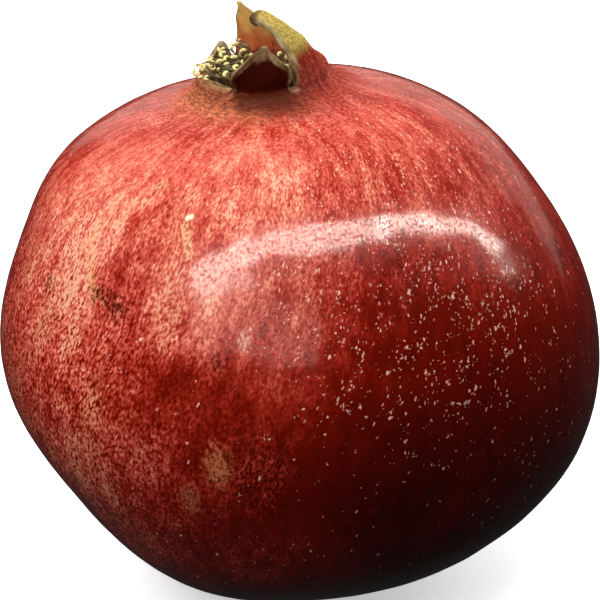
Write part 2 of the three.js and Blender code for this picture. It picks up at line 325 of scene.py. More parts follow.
class Graph:
    """A short way to place nodes in one material or one group."""

    def __init__(self, tree: bpy.types.NodeTree) -> None:
        """Works on a node tree, which is emptied first."""
        self.tree = tree
        tree.nodes.clear()

    def add(self, kind: str, settings: dict | None = None, **inputs: object) -> bpy.types.Node:
        """Places a node.

        Args:
            kind: the node's type.
            settings: the node's own settings by name.
            **inputs: its sockets by name, with _ for a space; iN means socket N.

        Returns:
            The node.
        """
        node = self.tree.nodes.new(kind)
        for name, value in (settings or {}).items():
            setattr(node, name, value)
        for name, value in inputs.items():
            numbered = name[0] == "i" and name[1:].isdigit()
            socket = node.inputs[int(name[1:]) if numbered else name.replace("_", " ")]
            self.feed(socket, value)
        return node

    def feed(self, socket: bpy.types.NodeSocket, value: object) -> None:
        """Links a socket to another one, or gives it a plain value."""
        if isinstance(value, bpy.types.NodeSocket):
            self.tree.links.new(value, socket)
        elif socket.type == "RGBA" and len(value) == 3:
            socket.default_value = (*value, 1.0)
        else:
            socket.default_value = value

    def math(self, operation: str, *values: object) -> bpy.types.NodeSocket:
        """One sum, such as "DIVIDE" or "POWER"."""
        inputs = {f"i{i}": value for i, value in enumerate(values)}
        return self.add("ShaderNodeMath", {"operation": operation}, **inputs).outputs[0]

    def times(self, first: object, second: object) -> bpy.types.NodeSocket:
        """One value times another."""
        return self.math("MULTIPLY", first, second)

    def plus(self, first: object, second: object) -> bpy.types.NodeSocket:
        """One value plus another."""
        return self.math("ADD", first, second)

    def minus(self, first: object, second: object) -> bpy.types.NodeSocket:
        """One value less another."""
        return self.math("SUBTRACT", first, second)

    def larger(self, first: object, second: object) -> bpy.types.NodeSocket:
        """The larger of two values."""
        return self.math("MAXIMUM", first, second)

    def linear(self, value: object, factor: object, start: object) -> bpy.types.NodeSocket:
        """A value times a factor, added to a start."""
        return self.math("MULTIPLY_ADD", value, factor, start)

    def dot(self, first: object, second: object) -> bpy.types.NodeSocket:
        """The dot product of two vectors, which is how far they face the same way."""
        return self.vector("DOT_PRODUCT", first, second)

    def between(self, share: object, first: object, second: object) -> bpy.types.NodeSocket:
        """A plain value between two values."""
        return self.add(
            "ShaderNodeMix", {"data_type": "FLOAT"}, i0=share, i2=first, i3=second
        ).outputs[0]

    def vector(self, operation: str, *values: object) -> bpy.types.NodeSocket:
        """One sum on vectors; its output is a value for lengths and dot products."""
        inputs = {f"i{i}": value for i, value in enumerate(values)}
        node = self.add("ShaderNodeVectorMath", {"operation": operation}, **inputs)
        single = operation in ("LENGTH", "DOT_PRODUCT")
        return node.outputs["Value" if single else "Vector"]

    def scaled(self, vector: object, factor: object) -> bpy.types.NodeSocket:
        """A vector times a factor."""
        node = self.add("ShaderNodeVectorMath", {"operation": "SCALE"}, i0=vector, Scale=factor)
        return node.outputs["Vector"]

    def step(self, value: object, low: object, high: object) -> bpy.types.NodeSocket:
        """A smooth rise from 0 at low to 1 at high."""
        return self.add(
            "ShaderNodeMapRange",
            {"interpolation_type": "SMOOTHSTEP"},
            Value=value, From_Min=low, From_Max=high,
        ).outputs[0]

    def noise(
        self, vector: object, scale: float, detail: float = 2.0, rough: float = 0.5
    ) -> bpy.types.NodeSocket:
        """Soft noise from 0 to 1, so many to a unit of the vector."""
        return self.add(
            "ShaderNodeTexNoise",
            Vector=vector, Scale=scale, Detail=detail, Roughness=rough,
        ).outputs[0]

    def mix(
        self, share: object, first: object, second: object, blend: str = "MIX"
    ) -> bpy.types.NodeSocket:
        """A colour between two colours."""
        node = self.add("ShaderNodeMix", {"data_type": "RGBA", "blend_type": blend})
        for i, value in ((0, share), (6, first), (7, second)):
            self.feed(node.inputs[i], value)
        return node.outputs[2]

    def ramp(self, share: object, stops: Sequence[tuple[float, Colour]]) -> bpy.types.NodeSocket:
        """A colour that runs through stops as share goes from 0 to 1."""
        node = self.add("ShaderNodeValToRGB", Fac=share)
        marks = node.color_ramp.elements
        while len(marks) < len(stops):
            marks.new(0.5)
        for mark, (at, colour) in zip(marks, stops):
            mark.position = at
            mark.color = (*colour, 1.0)
        return node.outputs["Color"]

    def attribute(self, name: str, output: str = "Vector") -> bpy.types.NodeSocket:
        """A value that is kept on the piece's mesh."""
        node = self.add("ShaderNodeAttribute", {"attribute_name": name})
        return node.outputs[output]

    def group(self, tree: bpy.types.NodeTree, **inputs: object) -> bpy.types.Node:
        """Places a shared effect."""
        node = self.tree.nodes.new("ShaderNodeGroup")
        node.node_tree = tree
        for name, value in inputs.items():
            self.feed(node.inputs[name.replace("_", " ")], value)
        return node


def make_effect(
    name: str,
    inputs: dict[str, str],
    outputs: dict[str, str],
    wire: Callable[[Graph, dict[str, bpy.types.NodeSocket]], dict[str, bpy.types.NodeSocket]],
) -> bpy.types.NodeTree:
    """Makes a shared effect as a node group.

    Args:
        name: the group's name.
        inputs: the kind of each input socket by name, such as Float or Vector.
        outputs: the kind of each output socket by name.
        wire: places the nodes, and returns the socket that feeds each output.

    Returns:
        The group's node tree.
    """
    tree = bpy.data.node_groups.new(name, "ShaderNodeTree")
    graph = Graph(tree)
    for direction, sockets in (("INPUT", inputs), ("OUTPUT", outputs)):
        for socket, kind in sockets.items():
            tree.interface.new_socket(
                name=socket, in_out=direction, socket_type=f"NodeSocket{kind}"
            )
    given = graph.add("NodeGroupInput")
    made = wire(graph, {socket: given.outputs[socket] for socket in inputs})
    result = graph.add("NodeGroupOutput")
    for socket, value in made.items():
        tree.links.new(value, result.inputs[socket])
    return tree


class Effects:
    """The shared effects of the fruit's skin and its dry parts, each made once."""

    wrap_radius = 47.0
    twist = 0.25

    def __init__(self) -> None:
        """Makes every group."""
        self.wrapped = make_effect(
            "wrapped_skin", {"Place": "Vector"},
            {"Wrapped": "Vector", "Down": "Float", "Facing": "Vector"}, self._wire_wrapped,
        )
        self.streaks = make_effect(
            "streaks", {"Wrapped": "Vector", "Scale": "Float", "Stretch": "Float"},
            {"Value": "Float"}, self._wire_streaks,
        )
        self.pores = make_effect(
            "pores",
            {"Wrapped": "Vector", "Scale": "Float", "Size": "Float", "Cover": "Float"},
            {"Mask": "Float"}, self._wire_pores,
        )
        self.fibres = make_effect(
            "dry_fibres", {"Place": "Vector", "Scale": "Float"},
            {"Tone": "Float", "Height": "Float"}, self._wire_fibres,
        )
        self.spot = make_effect(
            "spot",
            {"Place": "Vector", "Middle": "Vector", "Run": "Vector", "Reach": "Float",
             "Rag": "Float"},
            {"Mask": "Float"}, self._wire_spot,
        )

    def _wire_wrapped(self, graph: Graph, given: dict) -> dict:
        """Unrolls a place into round-the-fruit and down-the-fruit lengths."""
        place = given["Place"]
        flat = graph.vector("MULTIPLY", place, (1.0, 1.0, 0.0))
        z = graph.dot(place, (0.0, 0.0, 1.0))
        down = graph.math("ARCTAN2", graph.vector("LENGTH", flat), z)
        length = graph.times(down, self.wrap_radius)
        turned = graph.add(
            "ShaderNodeVectorRotate", {"rotation_type": "Z_AXIS"},
            Vector=graph.vector("NORMALIZE", flat), Angle=graph.times(down, self.twist),
        ).outputs[0]
        ring = graph.scaled(turned, self.wrap_radius)
        lift = graph.add("ShaderNodeCombineXYZ", Z=length).outputs[0]
        return {
            "Wrapped": graph.vector("ADD", ring, lift),
            "Down": graph.math("DEGREES", down),
            "Facing": graph.vector("NORMALIZE", place),
        }

    def _wire_streaks(self, graph: Graph, given: dict) -> dict:
        """Noise drawn out along the way from the stalk to the crown."""
        short = graph.math("DIVIDE", 1.0, given["Stretch"])
        squash = graph.add("ShaderNodeCombineXYZ", X=1.0, Y=1.0, Z=short).outputs[0]
        drawn = graph.vector("MULTIPLY", given["Wrapped"], squash)
        return {"Value": graph.noise(drawn, given["Scale"], 3.0, 0.55)}

    def _wire_pores(self, graph: Graph, given: dict) -> dict:
        """Small pale pores of uneven size, thinned out by a cover value."""
        warp = graph.add("ShaderNodeTexNoise", Vector=given["Wrapped"], Scale=1.4, Detail=1.0)
        push = graph.scaled(graph.vector("SUBTRACT", warp.outputs["Color"], (0.5, 0.5, 0.5)), 0.9)
        drawn = graph.vector("MULTIPLY", given["Wrapped"], (1.0, 1.0, 0.75))
        drawn = graph.vector("ADD", drawn, push)
        cells = graph.add("ShaderNodeTexVoronoi", Vector=drawn, Scale=given["Scale"])
        pick = graph.add("ShaderNodeSeparateColor", Color=cells.outputs["Color"])
        size = graph.times(given["Size"], given["Scale"])
        bigger = graph.math("POWER", pick.outputs[0], 2.0)
        uneven = graph.linear(bigger, 0.9, 0.45)
        edge = graph.times(size, uneven)
        dot = graph.step(cells.outputs["Distance"], edge, graph.times(edge, 0.55))
        shown = graph.math("GREATER_THAN", given["Cover"], pick.outputs[1])
        return {"Mask": graph.times(dot, shown)}

    def _wire_fibres(self, graph: Graph, given: dict) -> dict:
        """The uneven tone and raised grain of dry plant fibres, drawn out upwards."""
        place = graph.scaled(given["Place"], given["Scale"])
        drawn = graph.vector("MULTIPLY", place, (1.0, 1.0, 0.22))
        grain = graph.noise(drawn, 1.0, 4.0, 0.6)
        patch = graph.noise(place, 0.3, 2.0)
        tone = graph.linear(patch, 0.6, graph.times(grain, 0.5))
        return {"Tone": tone, "Height": grain}

    def _wire_spot(self, graph: Graph, given: dict) -> dict:
        """A ragged spot or band about a line that runs from one place on the fruit."""
        offset = graph.vector("SUBTRACT", given["Place"], given["Middle"])
        run = given["Run"]
        long = graph.larger(graph.dot(run, run), 0.01)
        share = graph.math("DIVIDE", graph.dot(offset, run), long)
        share = graph.math("MINIMUM", graph.larger(share, 0.0), 1.0)
        offset = graph.vector("SUBTRACT", offset, graph.scaled(run, share))
        away = graph.vector("LENGTH", graph.vector("MULTIPLY", offset, (1.0, 1.0, 0.62)))
        rag = graph.minus(graph.noise(given["Place"], 1.1, 3.0, 0.6), 0.5)
        reach = graph.linear(rag, given["Rag"], given["Reach"])
        share = graph.math("DIVIDE", away, graph.larger(reach, 0.05))
        return {"Mask": graph.step(share, 1.0, 0.35)}


def new_material(name: str) -> tuple[bpy.types.Material, Graph]:
    """A new empty material and the graph of its nodes."""
    material = bpy.data.materials.new(name)
    material.use_nodes = True
    return material, Graph(material.node_tree)


def finish_surface(graph: Graph, height: object, strength: float, distance: float,
                   **sockets: object) -> None:
    """Ends a material in one Principled shader with a bump.

    Args:
        graph: the material's graph.
        height: the height socket of the bump.
        strength: the bump's strength.
        distance: the bump's full height, in metres.
        **sockets: the shader's other sockets by name, with _ for a space.
    """
    bump = graph.add("ShaderNodeBump", Height=height, Strength=strength, Distance=distance)
    shader = graph.add("ShaderNodeBsdfPrincipled", Normal=bump.outputs[0], **sockets)
    graph.add("ShaderNodeOutputMaterial", Surface=shader.outputs[0])


@dataclass(frozen=True)
class Mark:
    """A mark on the skin about a place on the straight fruit, in millimetres.

    A long mark runs from that place by its run.
    """

    middle: tuple[float, float, float]
    reach: float
    rag: float
    colour: Colour
    strength: float
    run: tuple[float, float, float] = (0.0, 0.0, 0.0)


@dataclass(frozen=True)
class Patch:
    """A broad paler or darker patch about a direction from the fruit's middle: partly the skin's
    own tone, partly painted light where it is paler and painted shade where it is darker.

    The edge is the cosine of the angle where it fades out, and the rise is in levels.
    """

    facing: tuple[float, float, float]
    edge: float
    rise: float


@dataclass(frozen=True)
class RindFinish:
    """Waxy red skin with pale flecks, pores and streaks, that dries out over the crown.

    A level from 0 to 1 runs from deep red to cream. It falls towards the dark lower side and rises
    towards the pale upper left, partly as the skin's own colour and partly as painted shade low
    down and painted light up high. Fine flecks break it up.
    """

    # The last stop is paler than the skin's own colour: painted glints and lit ridges of the fine
    # relief.
    tones: tuple[tuple[float, Colour], ...] = (
        (0.0, (0.045, 0.0010, 0.0)), (0.24, (0.20, 0.0050, 0.0006)),
        (0.40, (0.44, 0.024, 0.012)), (0.50, (0.60, 0.072, 0.046)),
        (0.64, (0.80, 0.145, 0.094)), (0.80, (0.97, 0.28, 0.178)), (1.0, (1.0, 0.52, 0.35)),
    )
    # The level falls towards the bottom and rises towards the top and upper left: the skin's own
    # tone, with painted shade below and painted light above.
    middle_level: float = 0.375
    shade_and_tone_slope: tuple[float, float, float] = (-0.05, -0.20, 0.19)
    # Patches lift or drop the level: partly the skin's tone, partly painted light where they rise
    # and painted shade where they fall; the broad first one is painted shade over the lower right.
    tone_and_shade_patches: tuple[Patch, ...] = (
        Patch((0.51, -0.78, -0.35), 0.42, -0.355), Patch((-0.65, -0.52, 0.55), 0.86, 0.19),
        Patch((-0.66, -0.54, 0.52), 0.975, 0.21), Patch((-0.03, -0.85, -0.53), 0.95, 0.17),
        Patch((-0.71, -0.68, -0.17), 0.975, 0.15), Patch((-0.47, -0.85, 0.25), 0.975, -0.11),
        Patch((-0.30, -0.86, 0.42), 0.988, 0.19), Patch((-0.15, -0.99, -0.04), 0.988, 0.13),
        Patch((0.27, -0.96, -0.11), 0.95, -0.06), Patch((0.49, -0.73, -0.47), 0.95, 0.08),
        Patch((-0.06, -0.63, 0.78), 0.975, 0.24), Patch((-0.27, -0.96, 0.11), 0.975, -0.17),
        Patch((0.36, -0.83, 0.44), 0.96, -0.08), Patch((-0.41, -0.86, 0.32), 0.985, -0.05),
        Patch((-0.16, -0.82, 0.55), 0.975, 0.05), Patch((-0.55, -0.46, 0.69), 0.96, 0.07),
        Patch((0.45, -0.88, -0.12), 0.90, -0.05), Patch((-0.39, -0.67, 0.63), 0.992, -0.15),
        Patch((-0.49, -0.68, 0.54), 0.991, -0.20), Patch((-0.54, -0.70, 0.47), 0.994, -0.16),
        Patch((-0.30, -0.85, 0.43), 0.995, -0.18), Patch((-0.10, -0.76, 0.64), 0.985, 0.06),
        Patch((0.37, -0.37, 0.85), 0.975, 0.07), Patch((-0.41, -0.87, -0.27), 0.97, -0.05),
    )
    tan: Colour = (0.52, 0.20, 0.08)
    cream: Colour = (0.88, 0.50, 0.24)
    # Pores are pale, and their colour is brightened past their own tone as painted glint.
    pore_and_glint: Colour = (1.0, 0.50, 0.38)
    pore_sizes: tuple[tuple[float, float, float], ...] = ((1.3, 0.25, 1.0), (2.1, 0.19, 0.75))
    pored_side: tuple[float, float, float] = (0.45, -0.76, 0.47)
    neck_orange: Colour = (0.64, 0.185, 0.075)
    neck_brown: Colour = (0.22, 0.034, 0.013)
    # Near-black maroon: the front lobe's own dark face, and painted shade in its hollow, inside the
    # cup and under a hooked tip.
    maroon_shade: Colour = (0.045, 0.0034, 0.0005)
    # Dark brown down the neck below the front lobe: painted shade.
    foot_painted_shade: Colour = (0.12, 0.020, 0.006)
    olive_shade: Colour = (0.13, 0.070, 0.016)
    olive_low: Colour = (0.33, 0.22, 0.052)
    olive: Colour = (0.58, 0.44, 0.10)
    olive_pale: Colour = (0.80, 0.66, 0.28)
    # The amber lobe runs from a dark foot, partly painted shade, to a pale tip, partly painted
    # light.
    amber_foot_shade: Colour = (0.16, 0.028, 0.010)
    amber: Colour = (0.58, 0.11, 0.036)
    amber_rise: Colour = (0.72, 0.185, 0.048)
    amber_tip_lit: Colour = (1.0, 0.58, 0.15)
    dusk: Colour = (0.055, 0.032, 0.016)
    dry: Colour = (0.29, 0.195, 0.085)
    dry_pale: Colour = (0.62, 0.50, 0.30)
    dark_mark: float = 0.35
    grain_height: float = 0.5
    pebble_height: float = 0.8
    pore_height: float = 0.3
    wrinkle_height: float = 4.0
    fibre_height: float = 4.0
    skin_bump: float = 0.0001
    waxed_roughness: float = 0.18
    matt_roughness: float = 0.85
    wax: float = 0.85
    wax_roughness: float = 0.105
    wax_ior: float = 1.55
    grain_evens_out: tuple[float, float] = (44.0, 20.0)
    neck_down: tuple[float, float] = (24.0, 15.5)
    # The side where the flecks stand out most: painted light and shade of the fine relief.
    relief_light_side: tuple[float, float, float] = (-0.82, -0.53, -0.20)
    russet_side: tuple[float, float, float] = (-0.93, -0.25, -0.28)
    orange_side: tuple[float, float, float] = (-0.93, -0.37, 0.0)
    ruddy_side: tuple[float, float, float] = (0.93, 0.37, 0.0)
    marks: tuple[Mark, ...] = (
        Mark((-16.0, -25.4, 34.2), 1.7, 3.0, (0.88, 0.54, 0.26), 0.55),
        Mark((-12.1, -31.3, 31.3), 0.55, 0.35, (1.0, 0.90, 0.60), 1.0, (0.6, 0.0, 0.0)),
        Mark((-12.4, -32.4, 30.2), 1.0, 1.2, (1.0, 0.58, 0.30), 0.85, (0.2, -2.6, -3.0)),
        Mark((-25.9, -24.3, 29.1), 1.2, 3.0, (1.0, 0.50, 0.24), 0.6, (-2.0, -2.4, -4.2)),
        Mark((-27.6, -27.4, 24.0), 1.5, 3.0, (1.0, 0.50, 0.24), 0.6, (0.4, -3.0, -4.0)),
        Mark((-26.4, -31.4, 21.0), 1.9, 7.0, (0.085, 0.010, 0.004), 0.95, (3.4, -2.9, -2.2)),
        Mark((-23.7, -34.1, 20.8), 0.7, 0.6, (0.90, 0.60, 0.36), 0.9),
        Mark((28.0, -3.6, 35.4), 2.6, 5.0, (0.42, 0.13, 0.085), 0.55, (7.0, 2.4, -5.4)),
        Mark((29.3, -6.8, 34.1), 0.42, 1.3, (0.12, 0.022, 0.010), 0.8, (5.5, 4.5, -4.4)),
        Mark((-34.7, -22.1, 20.0), 1.4, 3.5, (0.16, 0.06, 0.02), 0.9),
        Mark((-9.2, -43.3, 13.5), 1.5, 4.0, (0.08, 0.008, 0.004), 0.8),
        Mark((-10.6, -46.3, -1.7), 2.6, 8.0, (0.78, 0.30, 0.12), 0.6),
        Mark((-5.1, -42.8, 16.2), 1.3, 1.8, (0.90, 0.55, 0.38), 0.7),
        Mark((-15.4, -44.1, -7.9), 2.2, 3.5, (0.60, 0.22, 0.09), 0.5),
        Mark((-3.8, -47.1, -4.3), 7.0, 8.0, (0.045, 0.0012, 0.0003), 0.6),
    )

    def material(self, effects: Effects, name: str, gloss: float) -> bpy.types.Material:
        """Builds the material.

        Args:
            effects: the shared effects.
            name: the material's name.
            gloss: how strongly it reflects, from 0 to 1.

        Returns:
            The finished material.
        """
        material, graph = new_material(name)
        place = graph.attribute("straight_place")
        skin = graph.group(effects.wrapped, Place=place)
        blade = graph.attribute("blade", "Fac")
        dryness = graph.attribute("dryness", "Fac")
        grain = self._grain(graph, effects, place, skin)
        dots = self._pores(graph, effects, skin)
        colour = self._rind(graph, effects, place, skin, grain)
        colour = self._marks(graph, effects, place, grain, colour)
        # Pale pores, with painted glint in their colour.
        colour = graph.mix(dots, colour, self.pore_and_glint)
        ring = graph.vector("MULTIPLY", place, (0.65, 0.65, 2.0))
        wrinkles = graph.noise(ring, 1.7, 2.0, 0.55)
        colour, necking = self._neck(graph, place, skin, colour, wrinkles, grain)
        fibres = graph.group(effects.fibres, Place=graph.attribute("blade_place"), Scale=1.5)
        colour, maroon_shade = self._crown(graph, colour, fibres.outputs["Tone"], blade, dryness)

        pebble = graph.noise(place, 2.4, 2.0, 0.6)
        height = graph.linear(grain, self.grain_height, graph.times(pebble, self.pebble_height))
        height = graph.linear(dots, self.pore_height, height)
        height = graph.linear(graph.times(wrinkles, necking), self.wrinkle_height, height)
        height = graph.between(
            blade, height, graph.times(fibres.outputs["Height"], self.fibre_height)
        )
        matt = graph.larger(graph.larger(maroon_shade, blade), necking)
        dimples = graph.linear(graph.step(pebble, 0.48, 0.60), -0.85, 1.0)
        waxed = graph.times(graph.minus(1.0, matt), dimples)
        rough = graph.linear(
            matt, self.matt_roughness - self.waxed_roughness, self.waxed_roughness
        )
        finish_surface(
            graph, height, 0.5, self.skin_bump, Base_Color=colour, Roughness=rough,
            Specular_IOR_Level=gloss, Coat_Weight=graph.times(waxed, self.wax),
            Coat_Roughness=self.wax_roughness, Coat_IOR=self.wax_ior,
        )
        return material

    def _grain(self, graph: Graph, effects: Effects, place: object,
               skin: bpy.types.Node) -> bpy.types.NodeSocket:
        """Short flecks that run towards the crown, and even out close to it."""
        wrapped = skin.outputs["Wrapped"]
        dashes = graph.group(effects.streaks, Wrapped=wrapped, Scale=2.2, Stretch=1.5).outputs[0]
        even = graph.noise(place, 2.0, 3.0, 0.6)
        near = graph.step(skin.outputs["Down"], *self.grain_evens_out)
        return graph.between(near, dashes, even)

    def _pores(self, graph: Graph, effects: Effects, skin: bpy.types.Node) -> bpy.types.NodeSocket:
        """Pale pores in loose clusters, closest on the front and few low down."""
        wrapped = skin.outputs["Wrapped"]
        near = graph.dot(skin.outputs["Facing"], self.pored_side)
        cover = graph.times(graph.step(near, 0.78, 1.0), 0.7)
        cluster = graph.step(graph.noise(wrapped, 0.3, 2.0), 0.30, 0.70)
        cover = graph.times(graph.plus(cover, 0.09), cluster)
        dots = 0.0
        for scale, size, strength in self.pore_sizes:
            mask = graph.group(
                effects.pores, Wrapped=wrapped, Scale=scale, Size=size, Cover=cover
            ).outputs[0]
            dots = graph.larger(dots, graph.times(mask, strength))
        return dots

    def _rind(self, graph: Graph, effects: Effects, place: object, skin: bpy.types.Node,
              grain: object) -> bpy.types.NodeSocket:
        """Red skin from the dark lower side to the pale upper left, partly painted shade and
        painted light, with long streaks, flecks and tan russet.
        """
        wrapped, facing = skin.outputs["Wrapped"], skin.outputs["Facing"]
        long = graph.group(effects.streaks, Wrapped=wrapped, Scale=0.22, Stretch=3.4).outputs[0]
        cloud = graph.noise(place, 0.16, 4.0, 0.65)
        # The slope and the patches paint shade low down and light up high, as well as the skin's
        # own tone.
        sloped = graph.dot(facing, self.shade_and_tone_slope)
        level = graph.plus(sloped, self.middle_level)
        for patch in self.tone_and_shade_patches:
            near = graph.dot(facing, patch.facing)
            share = graph.step(near, patch.edge, lerp(patch.edge, 1.0, 0.95))
            level = graph.linear(share, patch.rise, level)
        uneven = graph.minus(graph.plus(cloud, long), 1.0)
        blotch = graph.group(effects.streaks, Wrapped=wrapped, Scale=0.5, Stretch=2.0).outputs[0]
        uneven = graph.linear(graph.minus(blotch, 0.5), 1.5, uneven)
        lively = graph.linear(graph.larger(level, 0.0), 0.65, 0.05)
        level = graph.linear(uneven, lively, level)
        # Flecks grow in contrast where the skin is paler, and twice over on the left side: the
        # skin's own flecking with painted light and shade of the fine relief.
        raised = graph.larger(graph.minus(level, 0.22), 0.0)
        contrast = graph.linear(raised, 2.5, 0.17)
        relief_light_shade = graph.step(graph.dot(facing, self.relief_light_side), 0.5, 0.95)
        contrast = graph.times(contrast, graph.plus(relief_light_shade, 1.0))
        flecked = graph.times(graph.minus(grain, 0.5), contrast)
        share = graph.times(graph.plus(level, flecked), 0.8)
        colour = graph.ramp(share, self.tones)
        creamy = graph.times(graph.step(long, 0.52, 0.66), graph.step(grain, 0.44, 0.6))
        creamy = graph.times(creamy, graph.step(level, 0.45, 0.8))
        colour = graph.mix(graph.times(creamy, 0.3), colour, self.cream)
        russet = graph.step(graph.dot(facing, self.russet_side), 0.5, 0.95)
        russet = graph.times(russet, graph.step(long, 0.42, 0.62))
        russet = graph.times(russet, graph.step(grain, 0.42, 0.60))
        return graph.mix(graph.times(russet, 0.4), colour, self.tan)

    def _marks(self, graph: Graph, effects: Effects, place: object, grain: object,
               colour: object) -> bpy.types.NodeSocket:
        """Cream patches, brown scuffs and speckled spots, broken up by the flecks."""
        pale = graph.linear(graph.step(grain, 0.42, 0.56), 0.8, 0.2)
        dark = graph.linear(graph.step(grain, 0.56, 0.42), 0.8, 0.2)
        for mark in self.marks:
            broken = pale if sum(mark.colour) > self.dark_mark else dark
            if mark.strength == 1.0:
                broken = 1.0
            spot = graph.group(
                effects.spot, Place=place, Middle=mark.middle, Run=mark.run, Reach=mark.reach,
                Rag=mark.rag,
            ).outputs[0]
            share = graph.times(graph.times(spot, broken), mark.strength)
            colour = graph.mix(share, colour, mark.colour)
        return colour

    def _neck(self, graph: Graph, place: object, skin: bpy.types.Node, colour: object,
              wrinkles: object, grain: object) -> tuple[bpy.types.NodeSocket, bpy.types.NodeSocket]:
        """Brown wrinkled skin on the neck, orange on the side of the broken lobe, darker just below
        the crown's rim as painted shade.

        Args:
            graph: the material's graph.
            place: the straight place.
            skin: the node that unrolls it.
            colour: the colour of the rind there.
            wrinkles: noise for the wrinkles.
            grain: the flecks.

        Returns:
            The colour, and how far the neck has its own skin.
        """
        uneven = graph.linear(graph.noise(place, 0.45, 3.0, 0.6), 10.0, -5.0)
        down = graph.plus(skin.outputs["Down"], uneven)
        necking = graph.step(down, *self.neck_down)
        orange = graph.dot(skin.outputs["Facing"], self.orange_side)
        orange = graph.step(orange, 0.05, 0.20)
        tint = graph.mix(orange, self.neck_brown, self.neck_orange)
        shade = graph.linear(graph.step(wrinkles, 0.38, 0.64), 0.80, 0.42)
        shade = graph.linear(graph.minus(grain, 0.5), 0.6, shade)
        # Darker just below the crown's rim: painted shade under the lobes.
        low = graph.linear(graph.step(skin.outputs["Down"], 13.0, 18.5), 0.4, 0.6)
        shade = graph.times(shade, low)
        tint = graph.mix(1.0, tint, graph.add(
            "ShaderNodeCombineColor", Red=shade, Green=shade, Blue=shade
        ).outputs[0], "MULTIPLY")
        ruddy = graph.dot(skin.outputs["Facing"], self.ruddy_side)
        cover = graph.linear(graph.step(ruddy, -0.02, 0.16), -0.42, 0.9)
        return graph.mix(graph.times(necking, cover), colour, tint), necking

    def _crown(self, graph: Graph, colour: object, tone: object, blade: object,
               dryness: object) -> tuple[bpy.types.NodeSocket, bpy.types.NodeSocket]:
        """Olive, amber and maroon faces and dry margins over the crown, with painted shade in the
        near-black maroon parts, down the neck below the front lobe and at the amber lobe's foot,
        and painted light at the amber lobe's tip.

        Args:
            graph: the material's graph.
            colour: the colour of the skin below.
            tone: the uneven tone of dry fibres.
            blade: how far the place belongs to the crown.
            dryness: how far the skin has dried out.

        Returns:
            The colour, and how far the face is maroon or painted shade.
        """
        tints = graph.add(
            "ShaderNodeSeparateColor", Color=graph.attribute("crown_tints", "Color")
        )
        maroon_shade, olive, amber = (tints.outputs[i] for i in range(3))
        laid = graph.attribute("blade_place")
        mottle = graph.noise(graph.vector("MULTIPLY", laid, (1.0, 1.0, 0.55)), 3.6, 4.0, 0.75)
        colour = graph.mix(olive, colour, graph.ramp(
            mottle, ((0.30, self.olive_shade), (0.42, self.olive_low), (0.55, self.olive),
                     (0.72, self.olive_pale))))
        # The amber face darkens towards its foot as painted shade and pales towards its tip as
        # painted light, over its own ripening.
        up = graph.dot(laid, (0.0, 0.0, 0.03))
        ripe_and_lit = graph.linear(tone, 0.22, graph.minus(up, 1.01))
        colour = graph.mix(amber, colour, graph.ramp(
            ripe_and_lit, ((0.41, self.amber_foot_shade), (0.44, self.amber), (0.50, self.amber_rise),
                   (0.59, self.amber_tip_lit))))
        # Painted shade: near black on the front lobe's face, in the cup and on a hooked tip, and
        # dark brown down the neck below the front lobe.
        shadow = graph.mix(blade, self.foot_painted_shade, self.maroon_shade)
        colour = graph.mix(maroon_shade, colour, shadow)
        colour = graph.mix(dryness, colour, graph.ramp(
            tone, ((0.36, self.dusk), (0.52, self.dry), (0.70, self.dry_pale))))
        return colour, maroon_shade


@dataclass(frozen=True)
class StalkFinish:
    """Grey-brown dry wood, paler across the cut."""

    bark_dark: Colour = (0.035, 0.02, 0.01)
    bark: Colour = (0.11, 0.065, 0.032)
    cut: Colour = (0.36, 0.25, 0.14)

    def material(self, effects: Effects) -> bpy.types.Material:
        """Builds the material from the shared effects."""
        material, graph = new_material("stalk_wood")
        place = graph.scaled(graph.add("ShaderNodeTexCoord").outputs["Object"], 1 / MM)
        fibres = graph.group(effects.fibres, Place=place, Scale=2.4)
        tone = fibres.outputs["Tone"]
        cut = graph.attribute("cut_face", "Fac")
        bark = graph.ramp(tone, ((0.3, self.bark_dark), (0.7, self.bark)))
        face = graph.ramp(tone, ((0.3, self.bark), (0.65, self.cut)))
        finish_surface(
            graph, fibres.outputs["Height"], 0.7, 0.0003,
            Base_Color=graph.mix(cut, bark, face),
            Roughness=graph.linear(tone, 0.2, 0.7),
        )
        return material


@dataclass(frozen=True)
class StamenFinish:
    """Dry threads, olive to brown, with straw-coloured heads."""

    thread_dark: Colour = (0.020, 0.012, 0.003)
    thread: Colour = (0.15, 0.105, 0.028)
    head_dark: Colour = (0.40, 0.27, 0.06)
    head: Colour = (1.0, 0.88, 0.36)

    def material(self, effects: Effects) -> bpy.types.Material:
        """Builds the material from the shared effects."""
        material, graph = new_material("dry_stamen_paper")
        place = graph.scaled(graph.add("ShaderNodeTexCoord").outputs["Object"], 1 / MM)
        fibres = graph.group(effects.fibres, Place=place, Scale=3.0)
        tone = fibres.outputs["Tone"]
        head = graph.attribute("head", "Fac")
        thread = graph.ramp(tone, ((0.35, self.thread_dark), (0.7, self.thread)))
        anther = graph.ramp(tone, ((0.3, self.head_dark), (0.55, self.head)))
        finish_surface(
            graph, fibres.outputs["Height"], 0.5, 0.0001,
            Base_Color=graph.mix(head, thread, anther),
            Roughness=graph.linear(tone, 0.25, 0.55),
        )
        return material


